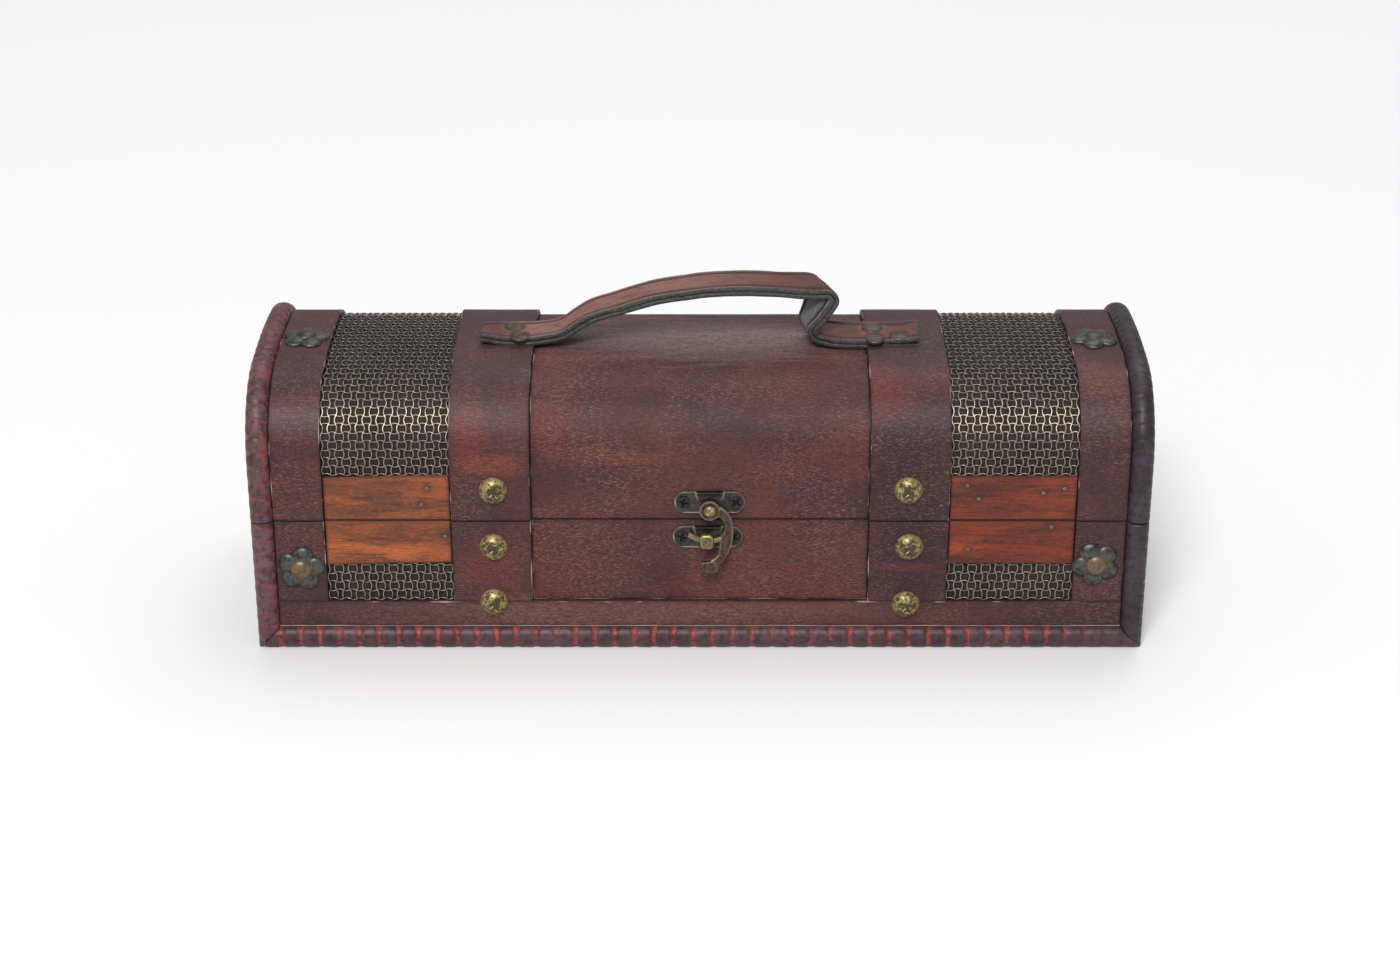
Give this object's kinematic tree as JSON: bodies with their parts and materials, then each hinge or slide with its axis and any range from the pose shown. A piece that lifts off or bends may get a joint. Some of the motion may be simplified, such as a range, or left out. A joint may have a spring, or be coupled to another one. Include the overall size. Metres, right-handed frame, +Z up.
{
  "type": "wine box",
  "caption": "Wooden wine bottle box with a rounded hinged lid, wrapped bands and wire mesh strips, a leather strap handle and a swing-hook clasp.",
  "frame": {"origin": "middle of the underside", "axes": "+X along the length to the right of someone who faces the clasp, -Y out of the front, +Z up"},
  "size_m": [0.356, 0.1259, 0.1368],
  "materials": {
    "board": "stained dark red-brown wood, satin, worn paler at the edges",
    "moulding": "near-black maroon stain with red showing in the cut notches",
    "band": "dark maroon stained veneer with redder streaks, satin lacquer",
    "panel": "grained dark maroon-brown veneer, satin lacquer",
    "slat": "orange-brown stained wood with darker grain",
    "mesh": "woven antique brass wire over a near-black backing",
    "tack": "antique brass with dark patina",
    "rosette": "dark gunmetal pressed sheet",
    "rosette_nail": "dark bronze",
    "brad": "dull steel nail heads",
    "leather": "worn dusty red-brown leather, stitched along both edges",
    "suede": "grey-black flesh side of the leather",
    "rivet": "dark green-bronze domed rivets",
    "clasp_plate": "dark gunmetal with bright worn edges",
    "clasp_screw": "dark cross-head screws",
    "clasp_brass": "antique bronze-brass with bright worn edges",
    "hinge": "antique brass",
    "hinge_steel": "dark steel"
  },
  "bodies": {
    "base": {"base_floor": "board", "base_front_board": "board", "base_back_board": "board", "base_left_end": "board", "base_right_end": "board", "base_front_moulding": "moulding", "base_back_moulding": "moulding", "front_left_corner_moulding": "moulding", "front_right_corner_moulding": "moulding", "back_corner_mouldings": "moulding", "base_front_rail": "band", "base_back_rail": "band", "base_front_bands": "band", "base_back_bands": "band", "base_front_end_bands": "band", "base_back_end_bands": "band", "base_front_panel": "panel", "base_back_panel": "panel", "base_front_slats": "slat", "base_back_slats": "slat", "base_front_meshes": "mesh", "base_back_meshes": "mesh", "base_dome_tacks": "tack", "base_rosettes": "rosette", "base_rosette_nails": "rosette_nail", "base_slat_brads": "brad", "clasp_lower_plate": "clasp_plate", "clasp_lower_screws": "clasp_screw", "clasp_knob": "clasp_brass", "hinge_base_leaves": "hinge", "hinge_pins": "hinge_steel", "hinge_base_screws": "hinge_steel"},
    "lid": {"lid_shell": "board", "lid_left_end": "board", "lid_right_end": "board", "lid_left_moulding": "moulding", "lid_right_moulding": "moulding", "lid_left_band": "band", "lid_right_band": "band", "lid_left_end_band": "band", "lid_right_end_band": "band", "lid_panel": "panel", "lid_front_slats": "slat", "lid_back_slats": "slat", "lid_left_mesh": "mesh", "lid_right_mesh": "mesh", "lid_dome_tacks": "tack", "lid_rosettes": "rosette", "lid_rosette_nails": "rosette_nail", "lid_slat_brads": "brad", "handle_top_strap": "leather", "handle_lower_strap": "suede", "handle_rivets": "rivet", "clasp_upper_plate": "clasp_plate", "clasp_pivot": "clasp_brass", "clasp_upper_screws": "clasp_screw", "hinge_lid_leaves": "hinge", "hinge_lid_screws": "hinge_steel"},
    "hook": {"clasp_hook": "clasp_brass"}
  },
  "joints": [
    {"name": "lid_open", "type": "hinge", "parent": "base", "child": "lid", "pos_m": [0, 0.0591, 0.056], "axis": [-1, 0, 0], "range_deg": [0, 105]},
    {"name": "hook_swing", "type": "hinge", "parent": "lid", "child": "hook", "pos_m": [0.00385, -0.0574, 0.0615], "axis": [0, -1, 0], "range_deg": [-8, 100]}
  ]
}
